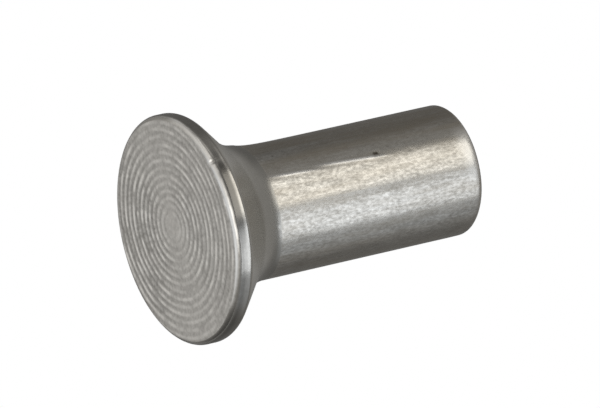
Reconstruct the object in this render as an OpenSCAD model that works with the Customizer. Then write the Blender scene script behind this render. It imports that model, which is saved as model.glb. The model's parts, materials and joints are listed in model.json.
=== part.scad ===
// Solid countersunk rivet, headed from one piece of steel wire.
// It stands on the flat of its head. The origin is the middle of the face, and +Z runs up the shank.

/* [Shank] */
// Diameter of the shank
shank_d = 5; // [4:0.1:6]
// Length over all, from the face of the head to the tail
overall_l = 12; // [8:0.5:30]
// Radius that eases the edge of the tail
tail_edge_r = 0.2; // [0.1:0.05:0.5]

/* [Head] */
// Diameter of the head over its rim
head_d = 8.7; // [8:0.1:10]
// Included angle of the countersink
sink_angle = 90; // [75:5:120]
// Height of the rim, from the face to the start of the countersink
rim_h = 0.65; // [0.4:0.05:1]
// Radius that eases the edge between face and rim
face_edge_r = 0.28; // [0.06:0.02:0.4]
// Radius that eases the edge between rim and countersink
rim_back_r = 0.25; // [0.1:0.05:0.4]
// Radius of the fillet between countersink and shank
neck_r = 1.6; // [0.2:0.1:1.8]

/* [Face rings] */
// Distance from one turned ring to the next
ring_pitch = 0.29; // [0.24:0.01:0.6]
// Width of a ring's groove
ring_w = 0.2; // [0.1:0.02:0.24]
// Depth of a ring's groove
ring_depth = 0.015; // [0.01:0.005:0.04]
// Radius of the smooth spot in the middle of the face
smooth_spot_r = 0.5; // [0.3:0.1:1.5]
// Width of the plain border between the rings and the edge of the face
ring_border = 0.16; // [0.1:0.02:0.5]

/* [Hidden] */
$fn = 128;
steel = [0.6, 0.59, 0.56];

shank_r = shank_d / 2;
head_r = head_d / 2;
sink_h = (head_r - shank_r) / tan(sink_angle / 2);
head_h = rim_h + sink_h;

// A groove is the trace of a round-nosed tool, sunk into the face by the groove's depth
tool_r = (pow(ring_w / 2, 2) + pow(ring_depth, 2)) / (2 * ring_depth);
first_ring_r = smooth_spot_r + ring_w / 2;
last_ring_r = head_r - face_edge_r - ring_border - ring_w / 2;

// Corners of the half section, radius before height, from the middle of the face to the middle of the tail
section = [
  [0, 0],
  [head_r, 0],
  [head_r, rim_h],
  [shank_r, head_h],
  [shank_r, overall_l],
  [0, overall_l]
];
FACE_EDGE = 1;
RIM_BACK = 2;
NECK = 3;
TAIL_EDGE = 4;

// How far the eased area reaches past its corner, from the middle of its arc
ease_reach = 1.5;

function unit(v) = v / norm(v);

// The area outside the arc that eases one corner of the section, out to past the corner
module corner_ease(i, radius) {
  corner = section[i];
  back = unit(section[i - 1] - corner);
  ahead = unit(section[i + 1] - corner);
  half_angle = acos(back * ahead) / 2;
  tangent_l = radius / tan(half_angle);
  centre = corner + unit(back + ahead) * radius / sin(half_angle);
  sector = [centre, corner + back * tangent_l, corner, corner + ahead * tangent_l];
  difference() {
    polygon([for (p = sector) centre + (p - centre) * ease_reach]);
    translate(centre) circle(r = radius);
  }
}

// Where the turning tool cut into the face, in section
module ring_cuts() {
  for (r = [first_ring_r : ring_pitch : last_ring_r])
    translate([r, ring_depth - tool_r]) circle(r = tool_r);
}

// The open space round the countersink and the shank, in section
module open_space() {
  difference() {
    polygon([section[RIM_BACK], section[NECK], section[TAIL_EDGE], [head_r, overall_l]]);
    corner_ease(NECK, neck_r);
  }
}

module half_section() {
  difference() {
    square([head_r, overall_l]);
    open_space();
    corner_ease(FACE_EDGE, face_edge_r);
    corner_ease(RIM_BACK, rim_back_r);
    corner_ease(TAIL_EDGE, tail_edge_r);
    ring_cuts();
  }
}

module rivet() {
  color(steel) rotate_extrude() half_section();
}

rivet();
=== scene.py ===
"""Countersunk steel rivet, dressed for its picture.

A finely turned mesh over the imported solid, its steel finishes, the camera at the photograph's angle
and a small studio.
"""

import json
import math

import bpy
import numpy as np
from mathutils import Matrix, Vector


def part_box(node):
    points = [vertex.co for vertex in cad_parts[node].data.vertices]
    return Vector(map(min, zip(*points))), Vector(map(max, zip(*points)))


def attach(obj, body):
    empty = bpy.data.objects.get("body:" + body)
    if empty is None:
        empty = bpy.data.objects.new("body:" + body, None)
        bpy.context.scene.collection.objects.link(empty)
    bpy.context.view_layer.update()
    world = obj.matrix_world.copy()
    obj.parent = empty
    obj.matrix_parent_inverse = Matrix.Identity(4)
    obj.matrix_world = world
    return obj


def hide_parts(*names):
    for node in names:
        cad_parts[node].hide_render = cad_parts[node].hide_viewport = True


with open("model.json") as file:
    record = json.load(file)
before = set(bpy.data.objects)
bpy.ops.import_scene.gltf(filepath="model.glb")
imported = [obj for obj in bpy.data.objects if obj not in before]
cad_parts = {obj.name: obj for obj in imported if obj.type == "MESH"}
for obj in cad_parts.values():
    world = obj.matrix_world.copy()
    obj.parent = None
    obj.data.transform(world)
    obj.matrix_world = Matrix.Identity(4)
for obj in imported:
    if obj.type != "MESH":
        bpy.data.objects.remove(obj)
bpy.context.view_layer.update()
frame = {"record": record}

MM = 0.001
SEED = 5

# Sizes of the rivet that the frame gives
box_low, box_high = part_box("rivet")
shank_pin = next(m for m in frame["record"]["mounts"] if m["name"] == "shank")
HEAD_R = (box_high.x - box_low.x) / 2
LENGTH = box_high.z - box_low.z
SHANK_R = shank_pin["dims"]["r_mm"] * MM

# Sizes that the frame doesn't give
RIM_H = 0.65 * MM
FACE_EDGE_R = 0.28 * MM
RIM_BACK_R = 0.25 * MM
NECK_R = 1.6 * MM
TAIL_EDGE_R = 0.2 * MM
SINK_HALF_ANGLE = math.radians(45)
RING_PITCH = 0.29 * MM
RING_W = 0.2 * MM
RING_DEPTH = 0.015 * MM
SMOOTH_SPOT_R = 0.5 * MM
RING_BORDER = 0.16 * MM
HEAD_H = RIM_H + (HEAD_R - SHANK_R) / math.tan(SINK_HALF_ANGLE)
FACE_FLAT_R = HEAD_R - FACE_EDGE_R
FIRST_RING_R = SMOOTH_SPOT_R + RING_W / 2
LAST_RING_R = FACE_FLAT_R - RING_BORDER - RING_W / 2
RING_COUNT = math.ceil((LAST_RING_R - FIRST_RING_R) / RING_PITCH)

# Fineness of the turned mesh
TURN_STEPS = 360
STEPS_PER_RING = 9
ARC_STEPS = 8
NECK_STEPS = 14
RIM_STEPS = 4
SINK_STEPS = 14
SHANK_STEPS = 70
TAIL_STEPS = 12
# The turned finish of the face runs on over the start of its eased edge
TURNED_EDGE_STEPS = 3

# Uneven waves round the axis: how deep they are and how many make up one of them
RING_UNEVENNESS = 0.35
RING_WAVES = 7
RIM_WAVE = 0.012 * MM
RIM_WAVES = 9
TAIL_WAVE = 0.014 * MM
TAIL_WAVES = 11
TAIL_WAVE_REACH = 2 * TAIL_EDGE_R
WEAKEST_WAVE = 0.3

# Marks of making and handling on the mesh, with bearings from the front towards +X

# The rings were turned off the middle of the face, and end where they meet its edge
RING_MIDDLE = (-0.2 * MM, 0.16 * MM)
RING_END = 0.06 * MM
# The face is a little out of square, lowest at the back, so the rim is thinner at the front
FACE_LEAN = 0.13 * MM
# The back of the rim is pushed up the countersink on one side
THICK_BEARING = math.radians(35)
THICK_RISE = 0.13 * MM
THICK_FULL_H = RIM_H - 2 * RIM_BACK_R / 3
# The rim's edge at the face is beaten down along one stretch and has a nick in it
BEATEN_BEARING = math.radians(-24)
BEATEN_W = math.radians(30)
BEATEN_H = 0.6 * MM
BEATEN_DEPTH = 0.1 * MM
NICK_BEARING = math.radians(-31)
NICK_W = math.radians(1.1)
NICK_DEPTH = 0.08 * MM
# About this bearing a band of painted shade darkens the rim, and a painted highlight runs along its
# edge at the face
PAINTED_LIGHT_BEARING = math.radians(-12)
# The metal swells out of the neck on one side
SWELL_BEARING = math.radians(-90)
SWELL_REACH = math.radians(58)
SWELL_RISE = 0.163 * MM
SWELL_START = 1.8 * MM
SWELL_FULL = 2.25 * MM
SWELL_HOLD = 3.05 * MM
SWELL_FADE = 0.54 * MM
# A score runs from one bearing and height on the shank to another, and fades in and out
SCORES = [
    {"bearings": (-28.6, -25.0), "heights": (2.9, 5.6), "width": 0.07, "rise": 0.009},
    {"bearings": (-29.4, -24.0), "heights": (5.0, 8.6), "width": 0.07, "rise": 0.009},
    {"bearings": (2.0, 5.0), "heights": (4.0, 11.6), "width": 0.1, "rise": -0.003},
    {"bearings": (120.0, 118.0), "heights": (3.4, 9.0), "width": 0.08, "rise": 0.004},
    {"bearings": (213.0, 216.0), "heights": (5.0, 11.4), "width": 0.08, "rise": -0.004},
]
SCORE_FADE = 1 * MM
HIGHEST_SCORE = max(score["rise"] for score in SCORES)
# A pit is a small hole at a bearing and height on the shank, the darker the deeper
PITS = [
    {"bearing": -28.2, "height": 7.85, "radius": 0.09, "dark": 1.0},
    {"bearing": -24.3, "height": 9.3, "radius": 0.08, "dark": 0.35},
    {"bearing": 16.4, "height": 2.95, "radius": 0.06, "dark": 0.8},
    {"bearing": 152.0, "height": 6.4, "radius": 0.08, "dark": 0.7},
    {"bearing": 238.0, "height": 9.9, "radius": 0.07, "dark": 0.8},
]
PIT_DEPTH = 0.02 * MM
# Name of the mesh's record for the colour, above 0 on a raised score, where a highlight is painted, and
# below 0 in a pit
HIGHLIGHT_AND_PITS = "highlight_and_pits"

# The photograph's frame and the view of the rivet in it
PHOTO_W = 600
PHOTO_H = 408
FOCAL_PX = 9000
FACE_PX = (173.84, 231.51)
SHANK_FROM_SIGHT = math.radians(60.855)
SHANK_RISE = math.radians(12.727)
CAMERA_DISTANCE = 332.6 * MM
SENSOR_MM = 36
NEAREST_SEEN = 0.01
FARTHEST_SEEN = 10

# Directions
ACROSS = (1, 0, 0)
BACKWARD = (0, 1, 0)
UPWARD = (0, 0, 1)
LEVEL = (1, 1, 0)


# The rivet's half section

def arc(centre, radius, start, end, steps=ARC_STEPS):
    """Points of an arc in the half section, as (radius, height), from one angle to another."""
    angles = np.linspace(start, end, steps + 1)
    return [(centre[0] + radius * math.cos(a), centre[1] + radius * math.sin(a)) for a in angles]


def line(start, end, steps):
    """Points between two points of the half section, without either."""
    reach_r = end[0] - start[0]
    reach_z = end[1] - start[1]
    shares = np.linspace(0, 1, steps + 2)[1:-1]
    return [(start[0] + reach_r * s, start[1] + reach_z * s) for s in shares]


def half_section():
    """The half section from the middle of the face to the middle of the tail, split by finish."""
    right = math.pi / 2
    back_l = RIM_BACK_R * math.tan(SINK_HALF_ANGLE / 2)
    neck_l = NECK_R * math.tan(SINK_HALF_ANGLE / 2)
    face_steps = math.ceil(FACE_FLAT_R / RING_PITCH * STEPS_PER_RING)
    face_radii = np.linspace(0, FACE_FLAT_R, face_steps + 1)[:-1]
    face_edge = arc((FACE_FLAT_R, FACE_EDGE_R), FACE_EDGE_R, -right, 0)
    rim_back = arc((HEAD_R - RIM_BACK_R, RIM_H - back_l), RIM_BACK_R, 0, SINK_HALF_ANGLE)
    neck_centre = (SHANK_R + NECK_R, HEAD_H + neck_l)
    neck = arc(neck_centre, NECK_R, math.pi + SINK_HALF_ANGLE, math.pi, NECK_STEPS)
    tail_edge = arc((SHANK_R - TAIL_EDGE_R, LENGTH - TAIL_EDGE_R), TAIL_EDGE_R, 0, right)
    rim = line(face_edge[-1], rim_back[0], RIM_STEPS)
    return {
        "face": [(r, 0.0) for r in face_radii] + face_edge[:TURNED_EDGE_STEPS],
        "rim": face_edge[TURNED_EDGE_STEPS:] + rim + rim_back,
        "countersink": line(rim_back[-1], neck[0], SINK_STEPS) + neck,
        "shank": line(neck[-1], tail_edge[0], SHANK_STEPS) + tail_edge,
        "tail": line(tail_edge[-1], (0, LENGTH), TAIL_STEPS) + [(0, LENGTH)],
    }


# Marks of making and handling

def ripple(turns, rng, waves):
    """An uneven closed wave round the axis, from -1 to 1, made of waves of two bumps and more."""
    total = np.zeros_like(turns)
    for count in range(2, waves + 2):
        strength = math.sqrt(1 / count) * rng.uniform(WEAKEST_WAVE, 1)
        phase = rng.uniform(0, 2 * math.pi)
        total += strength * np.sin(count * turns + phase)
    return total / np.abs(total).max()


def dips(turns, rng, waves):
    """The same kind of wave from 0 to 1, for metal that is only taken away."""
    return 0.5 + 0.5 * ripple(turns, rng, waves)


def hump(distance, width):
    """A smooth round hump, 1 at its middle."""
    return np.exp(-(distance / width) ** 2)


def eased(share):
    """A share from 0 to 1 that leaves both ends softly."""
    share = np.clip(share, 0, 1)
    return share ** 2 * (3 - 2 * share)


def wrapped(angle):
    """An angle brought within half a turn of zero."""
    return (angle + math.pi) % (2 * math.pi) - math.pi


def cut_rings(r, z, turns, rng):
    """Cuts the turned rings into the face, off its middle and some stretches deeper than others."""
    off_x = r * np.sin(turns) - RING_MIDDLE[0]
    off_y = -r * np.cos(turns) - RING_MIDDLE[1]
    from_first = np.hypot(off_x, off_y) - FIRST_RING_R
    number = np.clip(np.round(from_first / RING_PITCH), 0, RING_COUNT - 1).astype(int)
    off = np.minimum(np.abs(from_first - number * RING_PITCH), RING_W / 2)
    tool_r = ((RING_W / 2) ** 2 + RING_DEPTH ** 2) / (2 * RING_DEPTH)
    depth = RING_DEPTH - tool_r + np.sqrt(tool_r ** 2 - off ** 2)
    uneven = np.array([ripple(turns, rng, RING_WAVES) for _ in range(RING_COUNT)])
    depth *= 1 + RING_UNEVENNESS * np.take_along_axis(uneven, number, axis=0)
    z += depth * (z == 0) * np.clip((FACE_FLAT_R - r) / RING_END, 0, 1)


def mark_rim(r, z, turns, rng):
    """Leaves the rim a little out of round, with a beaten stretch and a nick in its edge."""
    outward = np.clip((r - FACE_FLAT_R) / FACE_EDGE_R, 0, 1)
    r -= outward * hump(z - RIM_H / 2, RIM_H) * RIM_WAVE * dips(turns, rng, RIM_WAVES)
    beaten = hump(wrapped(turns - BEATEN_BEARING), BEATEN_W) * np.clip(1 - z / BEATEN_H, 0, 1)
    r -= outward * beaten * BEATEN_DEPTH
    nick = outward * hump(wrapped(turns - NICK_BEARING), NICK_W) * hump(z, FACE_EDGE_R)
    r -= nick * NICK_DEPTH
    z += nick * NICK_DEPTH / 2


def mark_shank(r, z, turns, rng):
    """Draws the long scores and the pits into the shank and leaves the tail's edge uneven.

    It returns where the colour is marked: 1 on the highest score, which gets a painted highlight, and
    -1 in the darkest pit.
    """
    highlight_and_pits = np.zeros_like(r)
    on_shank = (z > HEAD_H) & (r > SHANK_R - TAIL_EDGE_R)
    for score in SCORES:
        low, high = (h * MM for h in score["heights"])
        start, end = (math.radians(b) for b in score["bearings"])
        share = np.clip((z - low) / (high - low), 0, 1)
        off = wrapped(turns - (start + (end - start) * share)) * SHANK_R
        fade = np.clip(np.minimum(z - low, high - z) / SCORE_FADE, 0, 1)
        mark = on_shank * fade * hump(off, score["width"] * MM)
        r += mark * score["rise"] * MM
        # Raised scores are marked for a painted highlight in the colour
        highlight_and_pits += mark * max(score["rise"], 0) / HIGHEST_SCORE
    for pit in PITS:
        across = wrapped(turns - math.radians(pit["bearing"])) * SHANK_R
        off = np.hypot(across, z - pit["height"] * MM)
        mark = on_shank * hump(off, pit["radius"] * MM) * pit["dark"]
        r -= mark * PIT_DEPTH
        highlight_and_pits -= mark
    near_tail = on_shank * hump(z - LENGTH, TAIL_WAVE_REACH)
    r -= near_tail * TAIL_WAVE * dips(turns, rng, TAIL_WAVES)
    return highlight_and_pits


def swell_neck(r, z, turns):
    """Swells the neck on one side, fading out along the shank and into the countersink."""
    side = eased(1 - np.abs(wrapped(turns - SWELL_BEARING)) / SWELL_REACH)
    rise = eased((z - SWELL_START) / (SWELL_FULL - SWELL_START))
    fade = np.exp(-np.clip(z - SWELL_HOLD, 0, None) / SWELL_FADE)
    r += SWELL_RISE * side * rise * fade * (r > SHANK_R - TAIL_EDGE_R)


def thicken_rim(r, z, turns):
    """Moves the back of the rim up on one side, fading out down the rim and up the countersink."""
    side = (1 + np.cos(turns - THICK_BEARING)) / 2
    up_rim = eased((z - FACE_EDGE_R) / (THICK_FULL_H - FACE_EDGE_R))
    up_sink = np.clip((HEAD_H - z) / (HEAD_H - RIM_H), 0, 1)
    z += THICK_RISE * side * up_rim * up_sink * (r > SHANK_R)


def lean_face(r, z, turns):
    """Tips the face a little out of square, fading out over the height of the rim."""
    lean = (1 + r * np.cos(turns) / HEAD_R) / 2
    z += FACE_LEAN * lean * np.clip(1 - z / RIM_H, 0, 1)


def worked_rows(points):
    """Turns points of the half section into rows round the axis, with all marks, and where the colour
    gets a painted highlight or a pit.
    """
    turns = np.linspace(0, 2 * math.pi, TURN_STEPS, endpoint=False)
    r = np.repeat(points[:, :1], TURN_STEPS, axis=1)
    z = np.repeat(points[:, 1:], TURN_STEPS, axis=1)
    rng = np.random.default_rng(SEED)
    cut_rings(r, z, turns, rng)
    mark_rim(r, z, turns, rng)
    highlight_and_pits = mark_shank(r, z, turns, rng)
    swell_neck(r, z, turns)
    thicken_rim(r, z, turns)
    lean_face(r, z, turns)
    places = np.stack([r * np.sin(turns), -r * np.cos(turns), z], axis=-1)
    return places.reshape(-1, 3), highlight_and_pits


def turned_mesh(name, zones):
    """Turns the half section into one closed mesh, with a material index for each finish."""
    points = np.array([p for zone in zones.values() for p in zone])
    finish = [i for i, zone in enumerate(zones.values()) for _ in zone]
    places, highlight_and_pits = worked_rows(points[1:-1])
    rows = len(points) - 2
    face_middle = 0
    tail_middle = rows * TURN_STEPS + 1
    verts = [(0, 0, FACE_LEAN / 2), *places.tolist(), (0, 0, LENGTH)]

    def at(row, turn):
        """Number of the point on a row at a step of the turn."""
        return 1 + row * TURN_STEPS + turn % TURN_STEPS

    steps = range(TURN_STEPS)
    faces = [(face_middle, at(0, t + 1), at(0, t)) for t in steps]
    kinds = [finish[0]] * TURN_STEPS
    for low in range(rows - 1):
        high = low + 1
        faces += [(at(low, t), at(low, t + 1), at(high, t + 1), at(high, t)) for t in steps]
        kinds += [finish[high + 1]] * TURN_STEPS
    last = rows - 1
    faces += [(at(last, t), at(last, t + 1), tail_middle) for t in steps]
    kinds += [finish[-1]] * TURN_STEPS
    mesh = bpy.data.meshes.new(name)
    mesh.from_pydata(verts, [], faces)
    mesh.polygons.foreach_set("material_index", kinds)
    mesh.polygons.foreach_set("use_smooth", [True] * len(faces))
    marks_layer = mesh.attributes.new(HIGHLIGHT_AND_PITS, "FLOAT", "POINT")
    marks_layer.data.foreach_set("value", [0, *highlight_and_pits.ravel(), 0])
    mesh.update()
    return mesh


# Small helpers for building node trees

def feed(tree, socket, value):
    """Links an output to a socket, or sets the socket to a plain value."""
    if isinstance(value, bpy.types.NodeSocket):
        tree.links.new(value, socket)
    else:
        socket.default_value = value


def math_of(tree, operation, a, b=0.0, clamp=False):
    """Result of a sum on one or two values or outputs."""
    node = tree.nodes.new("ShaderNodeMath")
    node.operation = operation
    node.use_clamp = clamp
    feed(tree, node.inputs[0], a)
    feed(tree, node.inputs[1], b)
    return node.outputs[0]


def plus(tree, a, b):
    return math_of(tree, "ADD", a, b)


def minus(tree, a, b):
    return math_of(tree, "SUBTRACT", a, b)


def times(tree, a, b):
    return math_of(tree, "MULTIPLY", a, b)


def centred(tree, value):
    """A value from 0 to 1, moved to lie about 0."""
    return minus(tree, value, 0.5)


def blended(tree, a, b, shares):
    """Two values added, each by its share."""
    return plus(tree, times(tree, a, shares[0]), times(tree, b, shares[1]))


def vector_of(tree, operation, a, b=None):
    """Result of a sum on one or two vectors, or on a vector and its scale."""
    node = tree.nodes.new("ShaderNodeVectorMath")
    node.operation = operation
    feed(tree, node.inputs[0], a)
    if b is not None:
        feed(tree, node.inputs["Scale" if operation == "SCALE" else 1], b)
    return node.outputs["Value" if operation in ("LENGTH", "DOT_PRODUCT") else "Vector"]


def share_along(tree, vector, direction):
    """How far a vector goes in a direction."""
    return vector_of(tree, "DOT_PRODUCT", vector, direction)


def ranged(tree, value, low, high, at_low=0.0, at_high=1.0, kind="SMOOTHSTEP"):
    """A value turned into another that goes from one end to the other between low and high."""
    node = tree.nodes.new("ShaderNodeMapRange")
    node.interpolation_type = kind
    feed(tree, node.inputs["Value"], value)
    feed(tree, node.inputs["From Min"], low)
    feed(tree, node.inputs["From Max"], high)
    feed(tree, node.inputs["To Min"], at_low)
    feed(tree, node.inputs["To Max"], at_high)
    return node.outputs["Result"]


def noise_of(tree, vector, scale, detail, roughness=0.6):
    """Noise from 0 to 1 at a place."""
    node = tree.nodes.new("ShaderNodeTexNoise")
    feed(tree, node.inputs["Vector"], vector)
    node.inputs["Scale"].default_value = scale
    node.inputs["Detail"].default_value = detail
    node.inputs["Roughness"].default_value = roughness
    return node.outputs["Fac"]


def colour_mix(tree, share, a, b):
    """Two colours mixed, all of the second where the share is 1."""
    node = tree.nodes.new("ShaderNodeMix")
    node.data_type = "RGBA"
    feed(tree, node.inputs["Factor"], share)
    feed(tree, node.inputs["A"], a if isinstance(a, bpy.types.NodeSocket) else (*a, 1))
    feed(tree, node.inputs["B"], b if isinstance(b, bpy.types.NodeSocket) else (*b, 1))
    return node.outputs["Result"]


def rivet_position(tree):
    """The place on the rivet in millimetres, from the middle of its face."""
    place = tree.nodes.new("ShaderNodeTexCoord").outputs["Object"]
    return vector_of(tree, "SCALE", place, 1 / MM)


# Effects that several finishes share

def new_group(name, inputs, outputs):
    """An empty shared effect with named inputs and outputs."""
    tree = bpy.data.node_groups.new(name, "ShaderNodeTree")
    for label, kind in inputs.items():
        tree.interface.new_socket(label, in_out="INPUT", socket_type=kind)
    for label in outputs:
        tree.interface.new_socket(label, in_out="OUTPUT", socket_type="NodeSocketFloat")
    given = tree.nodes.new("NodeGroupInput").outputs
    result = tree.nodes.new("NodeGroupOutput").inputs
    return tree, given, result


def make_steel_grain():
    """Grain of the metal: cells of light and dull, as many to the millimetre as Fineness says."""
    tree, given, result = new_group(
        "steel_grain",
        {
            "Position": "NodeSocketVector",
            "Fineness": "NodeSocketVector",
            "Contrast": "NodeSocketFloat",
        },
        ["Grain"],
    )
    cells = vector_of(tree, "MULTIPLY", given["Position"], given["Fineness"])
    speckle = noise_of(tree, cells, scale=1.0, detail=3.0)
    spread = times(tree, centred(tree, speckle), given["Contrast"])
    feed(tree, result["Grain"], math_of(tree, "ADD", spread, 0.5, clamp=True))
    return tree


def make_edge_shine():
    """A painted highlight near an edge at one height, with a ragged border."""
    farthest_ragged = 2.0
    tree, given, result = new_group(
        "edge_shine",
        {
            "Position": "NodeSocketVector",
            "Height": "NodeSocketFloat",
            "Reach": "NodeSocketFloat",
        },
        ["Shine"],
    )
    along = share_along(tree, given["Position"], UPWARD)
    off = math_of(tree, "ABSOLUTE", minus(tree, along, given["Height"]))
    noise = noise_of(tree, given["Position"], scale=1.6, detail=3.0)
    ragged = times(tree, noise, farthest_ragged)
    reach = times(tree, given["Reach"], ragged)
    feed(tree, result["Shine"], ranged(tree, off, 0.0, reach, 1.0, 0.0))
    return tree


def make_dark_specks():
    """Small dark specks, scattered so that only some cells hold one."""
    chosen_cells = (0.6, 0.7)
    tree, given, result = new_group(
        "dark_specks",
        {
            "Position": "NodeSocketVector",
            "Spacing": "NodeSocketFloat",
            "Size": "NodeSocketFloat",
        },
        ["Speck"],
    )
    cells = tree.nodes.new("ShaderNodeTexVoronoi")
    feed(tree, cells.inputs["Vector"], given["Position"])
    feed(tree, cells.inputs["Scale"], math_of(tree, "DIVIDE", 1.0, given["Spacing"]))
    off = times(tree, cells.outputs["Distance"], given["Spacing"])
    spot = ranged(tree, off, 0.0, given["Size"], 1.0, 0.0)
    chance = share_along(tree, cells.outputs["Color"], ACROSS)
    feed(tree, result["Speck"], times(tree, spot, ranged(tree, chance, *chosen_cells)))
    return tree


STEEL_GRAIN = make_steel_grain()
EDGE_SHINE = make_edge_shine()
DARK_SPECKS = make_dark_specks()


def placed(tree, group, **values):
    """Places a shared effect in a material with its own values."""
    node = tree.nodes.new("ShaderNodeGroup")
    node.node_tree = group
    for label, value in values.items():
        feed(tree, node.inputs[label], value)
    return node.outputs[0]


def grain(tree, place, fineness, contrast):
    return placed(tree, STEEL_GRAIN, Position=place, Fineness=fineness, Contrast=contrast)


def edge_shine(tree, place, height, reach):
    return placed(tree, EDGE_SHINE, Position=place, Height=height, Reach=reach)


def dark_specks(tree, place, spacing, size):
    return placed(tree, DARK_SPECKS, Position=place, Spacing=spacing, Size=size)


# Finishes of the steel

# Heights and places here are in millimetres from the middle of the face. Tones are in linear light,
# from dull to bright. Other pairs of numbers say where a change starts and where it ends.

def bare_steel(name):
    """A new metal finish: its node tree and its shader."""
    material = bpy.data.materials.new(name)
    material.use_nodes = True
    tree = material.node_tree
    shader = tree.nodes["Principled BSDF"]
    shader.inputs["Metallic"].default_value = 1
    return material, tree, shader


def polish(tree, shader, tone, dull, bright, span=(0.0, 1.0)):
    """Roughness of the metal, from where its tone is dull to where it is bright."""
    feed(tree, shader.inputs["Roughness"], ranged(tree, tone, *span, dull, bright, "LINEAR"))


def relief(tree, shader, height, depth):
    """Fine unevenness of the surface, as deep as given in metres."""
    bump = tree.nodes.new("ShaderNodeBump")
    bump.inputs["Distance"].default_value = depth
    feed(tree, bump.inputs["Height"], height)
    feed(tree, shader.inputs["Normal"], bump.outputs["Normal"])


def ring_lands(tree, outward, radius, wander):
    """The bright lands between the turned grooves, each broken up along its ring."""
    half_land = (0.04, 0.4)
    from_first = minus(tree, plus(tree, radius, wander), FIRST_RING_R / MM)
    turn = math_of(tree, "DIVIDE", from_first, RING_PITCH / MM)
    ring = math_of(tree, "FLOOR", turn)
    off_land = math_of(tree, "ABSOLUTE", centred(tree, minus(tree, turn, ring)))
    land = ranged(tree, off_land, *half_land, 1.0, 0.0)
    ring_step = tree.nodes.new("ShaderNodeCombineXYZ")
    feed(tree, ring_step.inputs["Z"], ring)
    bearing = vector_of(tree, "NORMALIZE", outward)
    along_ring = vector_of(tree, "ADD", bearing, ring_step.outputs["Vector"])
    broken = grain(tree, along_ring, fineness=(4.5, 4.5, 3.7), contrast=2.8)
    return times(tree, land, broken)


def painted_ring_shading(tree, outward, radius):
    """How strongly the rings show: painted shade, strongest at the back, less at the front, least to
    the sides and in the middle.
    """
    side_span = (0.2, 0.85)
    side_shading = 0.42
    front_shading = 0.76
    extra_at_back = 0.34
    worn_middle = (0.3, 1.5)
    backward = share_along(tree, vector_of(tree, "NORMALIZE", outward), BACKWARD)
    off_side = math_of(tree, "ABSOLUTE", backward)
    side_shaded = ranged(tree, off_side, *side_span, side_shading, front_shading)
    ring_shading = plus(tree, side_shaded, ranged(tree, backward, *side_span, 0.0, extra_at_back))
    return times(tree, ring_shading, ranged(tree, radius, *worn_middle))


def turned_face():
    """Face of the head: bright broken lands between duller turned grooves, with a few dark specks."""
    tones = ((0.3, 0.291, 0.275), (0.95, 0.935, 0.905))
    speck_tone = (0.2, 0.18, 0.16)
    speck_strength = 0.6
    middle_tone = 0.54
    land_middle = 0.3
    fine_share = 0.3
    broad_share = 0.1
    ring_wander = 0.04
    material, tree, shader = bare_steel("turned_face")
    place = rivet_position(tree)
    fine = grain(tree, place, fineness=(7, 7, 7), contrast=2.6)
    broad = grain(tree, place, fineness=(1.1, 1.1, 1.1), contrast=2.4)
    specks = dark_specks(tree, place, spacing=1.3, size=0.08)
    ring_middle = (RING_MIDDLE[0] / MM, RING_MIDDLE[1] / MM, 0)
    outward = vector_of(tree, "MULTIPLY", vector_of(tree, "SUBTRACT", place, ring_middle), LEVEL)
    radius = vector_of(tree, "LENGTH", outward)
    wander = times(tree, centred(tree, broad), ring_wander)
    lands = minus(tree, ring_lands(tree, outward, radius, wander), land_middle)
    # The rings' contrast is painted shade, stronger at the back and weaker to the sides
    ringed = times(tree, painted_ring_shading(tree, outward, radius), lands)
    grained = plus(tree, plus(tree, middle_tone, ringed), times(tree, centred(tree, fine), fine_share))
    tone = plus(tree, grained, times(tree, centred(tree, broad), broad_share))
    metal = colour_mix(tree, math_of(tree, "ADD", tone, 0.0, clamp=True), *tones)
    specked = colour_mix(tree, times(tree, specks, speck_strength), metal, speck_tone)
    feed(tree, shader.inputs["Base Color"], specked)
    polish(tree, shader, tone, dull=0.4, bright=0.24)
    relief(tree, shader, tone, depth=0.004 * MM)
    return material


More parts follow.
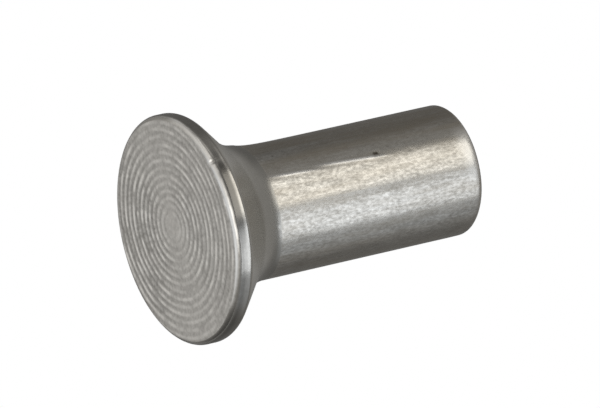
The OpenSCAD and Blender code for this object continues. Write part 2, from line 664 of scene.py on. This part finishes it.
def rolled_rim():
    """Rim of the head: smooth, with faint lines round it, and painted duller by the face than by the
    sink, as shade.

    On the -X side it is painted bright all over, as light. About one bearing a band of painted shade
    darkens it, and a painted highlight runs along its edge at the face.
    """
    face_side_tones = ((0.25, 0.242, 0.227), (0.37, 0.36, 0.34))
    sink_side_tones = ((0.4, 0.388, 0.363), (0.58, 0.563, 0.532))
    rim_shade_tone = (0.15, 0.145, 0.136)
    rim_highlight_tone = (0.93, 0.915, 0.885)
    face_to_sink = (0.36, 0.62)
    bright_side = (-0.4, -0.62)
    shade_length = (0.86, 0.98)
    shade_foot = (0.24, 0.34)
    shade_top = (0.54, 0.66)
    shade_strength = 0.85
    highlight_length = (0.42, 0.6)
    line_bend = (0.1, 0.7)
    line_heights = (0.19, 0.1)
    line_reach = 0.1
    material, tree, shader = bare_steel("rolled_rim")
    place = rivet_position(tree)
    lines = grain(tree, place, fineness=(1.2, 1.2, 12), contrast=2.0)
    fine = grain(tree, place, fineness=(7, 7, 7), contrast=2.0)
    tone = blended(tree, lines, fine, shares=(0.5, 0.5))
    along = share_along(tree, place, UPWARD)
    bearing = vector_of(tree, "NORMALIZE", vector_of(tree, "MULTIPLY", place, LEVEL))
    sideways = share_along(tree, bearing, ACROSS)
    # The rim is painted duller by the face as shade, and painted bright on the -X side as light
    by_sink = ranged(tree, along, *face_to_sink)
    on_bright_side = ranged(tree, sideways, *bright_side)
    face_side_metal = colour_mix(tree, tone, *face_side_tones)
    sink_side_metal = colour_mix(tree, tone, *sink_side_tones)
    bright = math_of(tree, "MAXIMUM", by_sink, on_bright_side)
    metal = colour_mix(tree, bright, face_side_metal, sink_side_metal)
    # A band of the rim near the face, about one bearing, is darkened with painted shade
    painted_light_way = (math.sin(PAINTED_LIGHT_BEARING), -math.cos(PAINTED_LIGHT_BEARING), 0)
    towards_painted_light = share_along(tree, bearing, painted_light_way)
    above_foot = ranged(tree, along, *shade_foot)
    below_top = ranged(tree, along, *shade_top, shade_strength, 0.0)
    shade_band = times(tree, above_foot, below_top)
    painted_shade = times(tree, ranged(tree, towards_painted_light, *shade_length), shade_band)
    shaded_metal = colour_mix(tree, painted_shade, metal, rim_shade_tone)
    # A painted highlight runs along the rim's edge at the face, at a height that changes with the side
    line_height = ranged(tree, sideways, *line_bend, *line_heights)
    shine = edge_shine(tree, place, line_height, line_reach)
    highlighted = times(tree, shine, ranged(tree, towards_painted_light, *highlight_length))
    feed(tree, shader.inputs["Base Color"], colour_mix(tree, highlighted, shaded_metal, rim_highlight_tone))
    polish(tree, shader, tone, dull=0.24, bright=0.15)
    relief(tree, shader, tone, depth=0.002 * MM)
    return material


def formed_sink():
    """Countersink and neck: even matte grey where the die pressed the metal, painted darker in the neck
    as shade.
    """
    neck_shade_tones = ((0.41, 0.4, 0.376), (0.51, 0.5, 0.472))
    sink_tones = ((0.55, 0.538, 0.507), (0.68, 0.668, 0.632))
    speck_tone = (0.2, 0.18, 0.15)
    neck_to_sink = (2.6, 3.1)
    material, tree, shader = bare_steel("formed_sink")
    place = rivet_position(tree)
    fine = grain(tree, place, fineness=(10, 10, 10), contrast=1.8)
    broad = grain(tree, place, fineness=(0.9, 0.9, 0.9), contrast=2.0)
    specks = dark_specks(tree, place, spacing=1.1, size=0.07)
    tone = blended(tree, fine, broad, shares=(0.6, 0.4))
    radius = vector_of(tree, "LENGTH", vector_of(tree, "MULTIPLY", place, LEVEL))
    shaded_neck_metal = colour_mix(tree, tone, *neck_shade_tones)
    sink_metal = colour_mix(tree, tone, *sink_tones)
    metal = colour_mix(tree, ranged(tree, radius, *neck_to_sink), shaded_neck_metal, sink_metal)
    feed(tree, shader.inputs["Base Color"], colour_mix(tree, specks, metal, speck_tone))
    polish(tree, shader, tone, dull=0.3, bright=0.24)
    relief(tree, shader, fine, depth=0.001 * MM)
    return material


def filmed_metal(tree, place, metal):
    """A brownish film on the shank, in long streaks and thicker on one side."""
    film_tone = (0.46, 0.41, 0.335)
    thick_side = (-2.2, -0.9)
    thickness = (0.75, 0.4)
    film = grain(tree, place, fineness=(2.0, 2.0, 0.16), contrast=3.2)
    sideways = share_along(tree, place, ACROSS)
    thick = ranged(tree, sideways, *thick_side, *thickness)
    return colour_mix(tree, times(tree, film, thick), metal, film_tone)


def tail_end_metal(tree, place, metal):
    """The end of the shank: a band of painted highlight, front and back, and a line of painted shade
    round its edge.
    """
    tail_highlight_tone = (0.95, 0.935, 0.9)
    edge_shade_tone = (0.27, 0.26, 0.24)
    tail_height = LENGTH / MM
    shine_drop = 0.3
    shine_reach = 0.6
    edge_line_drops = (0.16, 0.06)
    band_starts = (-1.6, -1.1)
    band_ends = (-0.2, 1.0)
    band_strength = 0.9
    # A painted highlight in a band near the end of the shank
    shine = edge_shine(tree, place, tail_height - shine_drop, shine_reach)
    sideways = share_along(tree, place, ACROSS)
    started = ranged(tree, sideways, *band_starts)
    band = times(tree, started, ranged(tree, sideways, *band_ends, band_strength, 0.0))
    highlighted = colour_mix(tree, times(tree, shine, band), metal, tail_highlight_tone)
    # A line of painted shade round the eased edge of the tail
    along = share_along(tree, place, UPWARD)
    painted_edge_shade = ranged(tree, along, *(tail_height - drop for drop in edge_line_drops))
    return colour_mix(tree, painted_edge_shade, highlighted, edge_shade_tone)


def drawn_shank():
    """Shank: drawn wire, finely mottled and streaked along its length, with scores, pits and specks."""
    tones = ((0.3, 0.287, 0.262), (0.83, 0.813, 0.774))
    score_highlight_tone = (0.9, 0.89, 0.875)
    speck_tone = (0.12, 0.105, 0.085)
    full_pit_wear = -0.6
    material, tree, shader = bare_steel("drawn_shank")
    place = rivet_position(tree)
    speckle = grain(tree, place, fineness=(12, 12, 6), contrast=3.4)
    cross = grain(tree, place, fineness=(1.2, 1.2, 4), contrast=2.4)
    streak = grain(tree, place, fineness=(4.8, 4.8, 0.7), contrast=3.2)
    blotch = grain(tree, place, fineness=(2.4, 2.4, 1.3), contrast=2.8)
    specks = dark_specks(tree, place, spacing=0.9, size=0.07)
    mottled = blended(tree, speckle, cross, shares=(0.44, 0.12))
    drawn = blended(tree, streak, blotch, shares=(0.24, 0.2))
    tone = plus(tree, mottled, drawn)
    filmed = filmed_metal(tree, place, colour_mix(tree, tone, *tones))
    metal = tail_end_metal(tree, place, filmed)
    highlight_and_pits = tree.nodes.new("ShaderNodeAttribute")
    highlight_and_pits.attribute_name = HIGHLIGHT_AND_PITS
    # The raised scores are painted near white, as a highlight
    scored = colour_mix(tree, ranged(tree, highlight_and_pits.outputs["Fac"], 0.0, 1.0), metal, score_highlight_tone)
    pit = ranged(tree, highlight_and_pits.outputs["Fac"], 0.0, full_pit_wear)
    pitted = colour_mix(tree, math_of(tree, "MAXIMUM", specks, pit), scored, speck_tone)
    feed(tree, shader.inputs["Base Color"], pitted)
    polish(tree, shader, tone, dull=0.32, bright=0.2, span=(0.2, 0.8))
    relief(tree, shader, drawn, depth=0.0035 * MM)
    return material


def cropped_tail():
    """Tail: a cropped end, with fine parallel shear lines and dark specks."""
    tones = ((0.38, 0.365, 0.335), (0.62, 0.6, 0.565))
    speck_tone = (0.18, 0.16, 0.13)
    material, tree, shader = bare_steel("cropped_tail")
    place = rivet_position(tree)
    shear = grain(tree, place, fineness=(7, 0.5, 1), contrast=2.4)
    fine = grain(tree, place, fineness=(8, 8, 8), contrast=2.2)
    specks = dark_specks(tree, place, spacing=1.0, size=0.09)
    tone = blended(tree, shear, fine, shares=(0.6, 0.4))
    metal = colour_mix(tree, tone, *tones)
    feed(tree, shader.inputs["Base Color"], colour_mix(tree, specks, metal, speck_tone))
    polish(tree, shader, tone, dull=0.46, bright=0.3)
    relief(tree, shader, tone, depth=0.006 * MM)
    return material


FINISHES = {
    "face": turned_face,
    "rim": rolled_rim,
    "countersink": formed_sink,
    "shank": drawn_shank,
    "tail": cropped_tail,
}


def make_rivet():
    """The rivet as one piece, in the place of its solid."""
    zones = half_section()
    mesh = turned_mesh("rivet_steel", zones)
    for zone in zones:
        mesh.materials.append(FINISHES[zone]())
    piece = bpy.data.objects.new("rivet_steel", mesh)
    bpy.context.scene.collection.objects.link(piece)
    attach(piece, "root")
    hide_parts("rivet")


# Camera and studio

def make_camera():
    """The photograph's camera: it sees the face from below the plane that the rivet stands on."""
    ahead = Vector((0, math.sin(SHANK_FROM_SIGHT), math.cos(SHANK_FROM_SIGHT)))
    shank_side = Vector((0, -math.cos(SHANK_FROM_SIGHT), math.sin(SHANK_FROM_SIGHT)))
    across = Vector(ACROSS)
    right = shank_side * math.cos(SHANK_RISE) + across * math.sin(SHANK_RISE)
    down = across * math.cos(SHANK_RISE) - shank_side * math.sin(SHANK_RISE)
    px = CAMERA_DISTANCE / FOCAL_PX
    face_right = (FACE_PX[0] - PHOTO_W / 2) * px
    face_down = (FACE_PX[1] - PHOTO_H / 2) * px
    place = -(right * face_right + down * face_down + ahead * CAMERA_DISTANCE)
    camera = bpy.data.objects.new("camera", bpy.data.cameras.new("camera"))
    camera.data.sensor_width = SENSOR_MM
    camera.data.lens = FOCAL_PX / PHOTO_W * SENSOR_MM
    camera.data.clip_start = NEAREST_SEEN
    camera.data.clip_end = FARTHEST_SEEN
    turn = Matrix((right, -down, -ahead)).transposed().to_4x4()
    camera.matrix_world = Matrix.Translation(place) @ turn
    bpy.context.scene.collection.objects.link(camera)
    bpy.context.scene.camera = camera
    return ahead, place, turn


def compass(bearing, height):
    """A direction, by degrees round from the front towards +X and degrees above the horizon."""
    b = math.radians(bearing)
    h = math.radians(height)
    return Vector((math.sin(b) * math.cos(h), -math.cos(b) * math.cos(h), math.sin(h)))


def softbox(name, bearing, height, wide, tall, level, colour):
    """A soft lamp that faces the rivet, sized by the degrees that it spans as the rivet sees it."""
    distance = 0.4
    direction = compass(bearing, height)
    lamp = bpy.data.lights.new(name, "AREA")
    lamp.shape = "RECTANGLE"
    lamp.size = 2 * distance * math.tan(math.radians(wide / 2))
    lamp.size_y = 2 * distance * math.tan(math.radians(tall / 2))
    lamp.energy = level * math.pi * lamp.size * lamp.size_y
    lamp.color = colour
    holder = bpy.data.objects.new(name, lamp)
    holder.location = direction * distance + Vector((0, 0, LENGTH / 2))
    holder.rotation_mode = "QUATERNION"
    holder.rotation_quaternion = direction.to_track_quat("Z", "Y")
    holder.visible_camera = False
    bpy.context.scene.collection.objects.link(holder)


def make_lamps():
    """A warm and a cool panel, one to each side of the front."""
    softbox(
        "warm_panel", bearing=-22.75, height=19, wide=42.5, tall=30, level=1.4, colour=(1, 0.965, 0.89)
    )
    softbox(
        "cool_panel", bearing=32, height=19, wide=43, tall=30, level=1.04, colour=(0.91, 0.95, 1)
    )


def stage_sheet(name, half_w, half_h, matrix, material):
    """A flat sheet of the stage, which shows on its front only and shades nothing."""
    corners = [(-1, -1), (1, -1), (1, 1), (-1, 1)]
    mesh = bpy.data.meshes.new(name)
    mesh.from_pydata([(x * half_w, y * half_h, 0) for x, y in corners], [], [(0, 1, 2, 3)])
    mesh.materials.append(material)
    sheet = bpy.data.objects.new(name, mesh)
    sheet.matrix_world = matrix
    sheet.visible_shadow = False
    bpy.context.scene.collection.objects.link(sheet)


def sheet_material(name):
    """An empty material for a sheet of the stage, with the kinds of ray that meet it."""
    material = bpy.data.materials.new(name)
    material.use_nodes = True
    tree = material.node_tree
    tree.nodes.clear()
    return material, tree, tree.nodes.new("ShaderNodeLightPath").outputs


def clear_where(tree, share, surface):
    """Finishes a sheet's material: its surface, and clear where the share is 1."""
    mix = tree.nodes.new("ShaderNodeMixShader")
    feed(tree, mix.inputs[0], share)
    feed(tree, mix.inputs[1], surface)
    feed(tree, mix.inputs[2], tree.nodes.new("ShaderNodeBsdfTransparent").outputs[0])
    out = tree.nodes.new("ShaderNodeOutputMaterial")
    feed(tree, out.inputs["Surface"], mix.outputs[0])


def pale_floor():
    """A pale matte floor, clear from below.

    Rays that start in its contact with the rivet pass through it, so that the face stays lit.
    """
    floor_tone = (0.62, 0.62, 0.62, 1)
    glow_level = 0.5
    mirrored_share = 0.4
    contact_reach = 1.5 * MM
    material, tree, rays = sheet_material("pale_floor")
    matte = tree.nodes.new("ShaderNodeBsdfDiffuse")
    matte.inputs["Color"].default_value = floor_tone
    glow = tree.nodes.new("ShaderNodeEmission")
    mirrored = times(tree, rays["Is Glossy Ray"], mirrored_share)
    glowing = plus(tree, rays["Is Camera Ray"], mirrored)
    feed(tree, glow.inputs["Strength"], times(tree, glowing, glow_level))
    both = tree.nodes.new("ShaderNodeAddShader")
    feed(tree, both.inputs[0], matte.outputs[0])
    feed(tree, both.inputs[1], glow.outputs[0])
    contact = math_of(tree, "LESS_THAN", rays["Ray Length"], contact_reach)
    behind = tree.nodes.new("ShaderNodeNewGeometry").outputs["Backfacing"]
    clear_where(tree, math_of(tree, "MAXIMUM", contact, behind), both.outputs[0])
    return material


def white_card():
    """White card behind the rivet, which shows on its front and lights nothing matte."""
    material, tree, rays = sheet_material("white_card")
    direct = plus(tree, rays["Is Camera Ray"], rays["Is Glossy Ray"])
    shown = math_of(tree, "ADD", direct, rays["Is Transmission Ray"], clamp=True)
    glow = tree.nodes.new("ShaderNodeEmission")
    feed(tree, glow.inputs["Strength"], shown)
    behind = tree.nodes.new("ShaderNodeNewGeometry").outputs["Backfacing"]
    clear_where(tree, behind, glow.outputs[0])
    return material


def make_stage(ahead, camera_place, camera_turn):
    """The floor under the rivet and the card behind it."""
    floor_drop = 0.02 * MM
    floor_half = 1.0
    floor_place = Matrix.Translation((0, 0, -floor_drop))
    stage_sheet("floor", floor_half, floor_half, floor_place, pale_floor())
    card_distance = 1.2
    spare = 1.6
    half_px = card_distance / FOCAL_PX / 2 * spare
    card_place = Matrix.Translation(camera_place + ahead * card_distance) @ camera_turn
    stage_sheet("backdrop", PHOTO_W * half_px, PHOTO_H * half_px, card_place, white_card())


# Brightness of the studio's walls by the sine of the height above the horizon
WALL_LEVELS = {
    -1.0: 0.8,
    -0.94: 0.7,
    -0.85: 0.64,
    -0.6: 0.58,
    -0.4: 0.43,
    -0.1: 0.32,
    0.1: 0.25,
    0.3: 0.16,
    0.5: 0.145,
    0.65: 0.18,
    0.8: 0.34,
    1.0: 0.36,
}
# Soft round patches of the walls: the bearing and height of the middle, and the degrees from it at
# which the patch is at its full level and gone. A card scales the walls' level, a glow adds to it.
PALE_CARD = {"bearing": 2, "height": -20, "full": 14, "gone": 46, "level": 2.8}
DARK_CARD = {"bearing": 122, "height": -20, "full": 10, "gone": 36, "level": 0.4}
COOL_GLOW = {"bearing": 40, "height": 27, "full": 0, "gone": 68, "level": 0.39}
SIDE_GLOW = {"bearing": -66, "height": 28, "full": 0, "gone": 30, "level": 0.09}
LOW_GLOW = {"bearing": -64, "height": -10, "full": 8, "gone": 28, "level": 0.6}
# The cool glow ends between these sines of the height above the horizon
COOL_GLOW_TOP = (0.5, 0.64)


def wall_level(tree, sine):
    """Brightness of the plain walls at a height."""
    peak = max(WALL_LEVELS.values())
    ramp = tree.nodes.new("ShaderNodeValToRGB")
    stops = ramp.color_ramp.elements
    stops_at_first = len(stops)
    for i, (height, level) in enumerate(WALL_LEVELS.items()):
        place = (height + 1) / 2
        stop = stops[i] if i < stops_at_first else stops.new(place)
        stop.position = place
        stop.color = (level / peak, level / peak, level / peak, 1)
    feed(tree, ramp.inputs["Fac"], ranged(tree, sine, -1.0, 1.0, kind="LINEAR"))
    return times(tree, ramp.outputs["Color"], peak)


def wall_patch(tree, way, patch, elsewhere):
    """Level of a soft round patch of the walls, in every direction."""
    closeness = share_along(tree, way, compass(patch["bearing"], patch["height"]))
    gone = math.cos(math.radians(patch["gone"]))
    full = math.cos(math.radians(patch["full"]))
    return ranged(tree, closeness, gone, full, elsewhere, patch["level"])


def make_world():
    """A grey studio: pale low down and dark above, with a pale and a dark card and three soft glows."""
    bottom_tint = (0.97, 0.985, 1)
    wall_tint = (1, 0.98, 0.945)
    cool_tint = (0.93, 0.965, 1)
    bottom_to_wall = (-0.95, -0.7)
    cool_span = (0.0, 0.3)
    world = bpy.data.worlds.new("studio")
    bpy.context.scene.world = world
    world.use_nodes = True
    tree = world.node_tree
    tree.nodes.clear()
    way = tree.nodes.new("ShaderNodeTexCoord").outputs["Generated"]
    sine = share_along(tree, way, UPWARD)
    pale_card = wall_patch(tree, way, PALE_CARD, elsewhere=1.0)
    dark_card = wall_patch(tree, way, DARK_CARD, elsewhere=1.0)
    carded = times(tree, wall_level(tree, sine), times(tree, pale_card, dark_card))
    below_top = ranged(tree, sine, *COOL_GLOW_TOP, 1.0, 0.0)
    cool_glow = times(tree, wall_patch(tree, way, COOL_GLOW, elsewhere=0.0), below_top)
    side_glow = wall_patch(tree, way, SIDE_GLOW, elsewhere=0.0)
    low_glow = wall_patch(tree, way, LOW_GLOW, elsewhere=0.0)
    glows = plus(tree, low_glow, plus(tree, cool_glow, side_glow))
    plain_tint = colour_mix(tree, ranged(tree, sine, *bottom_to_wall), bottom_tint, wall_tint)
    tint = colour_mix(tree, ranged(tree, cool_glow, *cool_span), plain_tint, cool_tint)
    background = tree.nodes.new("ShaderNodeBackground")
    feed(tree, background.inputs["Color"], tint)
    feed(tree, background.inputs["Strength"], plus(tree, carded, glows))
    out = tree.nodes.new("ShaderNodeOutputWorld")
    feed(tree, out.inputs["Surface"], background.outputs[0])


make_rivet()
ahead, camera_place, camera_turn = make_camera()
make_lamps()
make_stage(ahead, camera_place, camera_turn)
make_world()
bpy.context.scene.view_settings.view_transform = "Standard"
